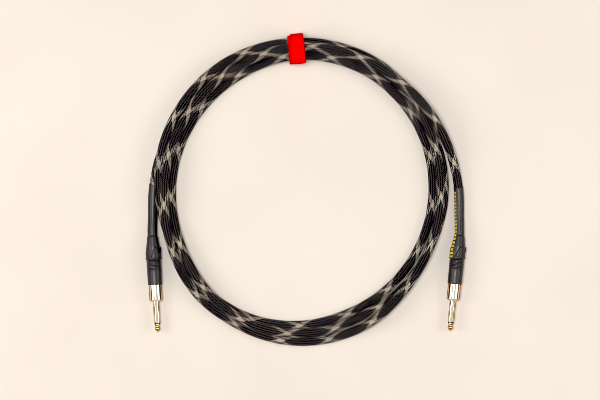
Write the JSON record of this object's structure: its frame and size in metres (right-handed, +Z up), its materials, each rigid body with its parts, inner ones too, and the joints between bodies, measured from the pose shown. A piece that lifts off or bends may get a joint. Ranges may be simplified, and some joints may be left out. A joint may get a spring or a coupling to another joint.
{
  "type": "instrument cable",
  "caption": "Sleeved instrument cable with a straight jack plug at each end, coiled flat and tied with a hook-and-loop strap.",
  "frame": {"origin": "middle of the coiled cable's footprint, on the plane it rests on", "axes": "+Z up out of the coil's plane, +Y from the coil's middle towards the strap, both plugs point along -Y, left plug at -X and right plug at +X"},
  "size_m": [0.3206, 0.3122, 0.031],
  "materials": {
    "sleeve_braid": "woven monofilament",
    "jacket": "satin",
    "shield_copper": "braided tinned copper",
    "conductive_plastic": "matte",
    "dielectric_plastic": "satin",
    "copper": "stranded bare copper",
    "plug_metal": "polished warm nickel",
    "tip_brass": "polished",
    "black_plastic": "satin",
    "terminal_tin": "tinned",
    "brown_laminate": "matte",
    "clear_plastic": "translucent",
    "white_plastic": "satin",
    "boot_plastic": "moulded satin",
    "shrink_plastic": "satin heat-shrink",
    "strap_cloth": "brushed loop pile",
    "hook_tape": "moulded hooks"
  },
  "bodies": {
    "coil": {"braided_sleeve": "sleeve_braid", "outer_jacket": "jacket", "braided_shield": "shield_copper", "conductive_layer": "conductive_plastic", "dielectric": "dielectric_plastic", "centre_conductor": "copper", "strap_band": "strap_cloth"},
    "left_tail": {"left_braided_sleeve": "sleeve_braid", "left_outer_jacket": "jacket", "left_braided_shield": "shield_copper", "left_conductive_layer": "conductive_plastic", "left_dielectric": "dielectric_plastic", "left_centre_conductor": "copper", "left_tip_contact": "tip_brass", "left_tip_insulator": "black_plastic", "left_sleeve_barrel": "plug_metal", "left_ground_terminal": "terminal_tin", "left_rear_insulator": "brown_laminate", "left_tip_lug": "tip_brass", "left_insulating_tube": "clear_plastic", "left_plug_shell": "plug_metal", "left_boot_bush": "tip_brass", "left_cable_chuck": "white_plastic", "left_boot": "boot_plastic", "left_heat_shrink": "shrink_plastic"},
    "right_tail": {"right_braided_sleeve": "sleeve_braid", "right_outer_jacket": "jacket", "right_braided_shield": "shield_copper", "right_conductive_layer": "conductive_plastic", "right_dielectric": "dielectric_plastic", "right_centre_conductor": "copper", "right_tip_contact": "tip_brass", "right_tip_insulator": "black_plastic", "right_sleeve_barrel": "plug_metal", "right_ground_terminal": "terminal_tin", "right_rear_insulator": "brown_laminate", "right_tip_lug": "tip_brass", "right_insulating_tube": "clear_plastic", "right_plug_shell": "plug_metal", "right_boot_bush": "tip_brass", "right_cable_chuck": "white_plastic", "right_boot": "boot_plastic", "right_heat_shrink": "shrink_plastic"},
    "strap_end": {"strap_flap": "strap_cloth", "hook_patch": "hook_tape"}
  },
  "joints": [
    {"name": "left_tail_swing", "type": "hinge", "parent": "coil", "child": "left_tail", "pos_m": [-0.15167, 0.00634, 0.00496], "axis": [0, 0, 1], "range_deg": [-25, 0]},
    {"name": "right_tail_swing", "type": "hinge", "parent": "coil", "child": "right_tail", "pos_m": [0.12898, 0.06901, 0.02014], "axis": [0, 0, 1], "range_deg": [-4, 25]},
    {"name": "strap_peel", "type": "hinge", "parent": "coil", "child": "strap_end", "pos_m": [-0.01034, 0.15222, 0.03035], "axis": [-0.9962, -0.0872, 0], "range_deg": [0, 120]}
  ]
}
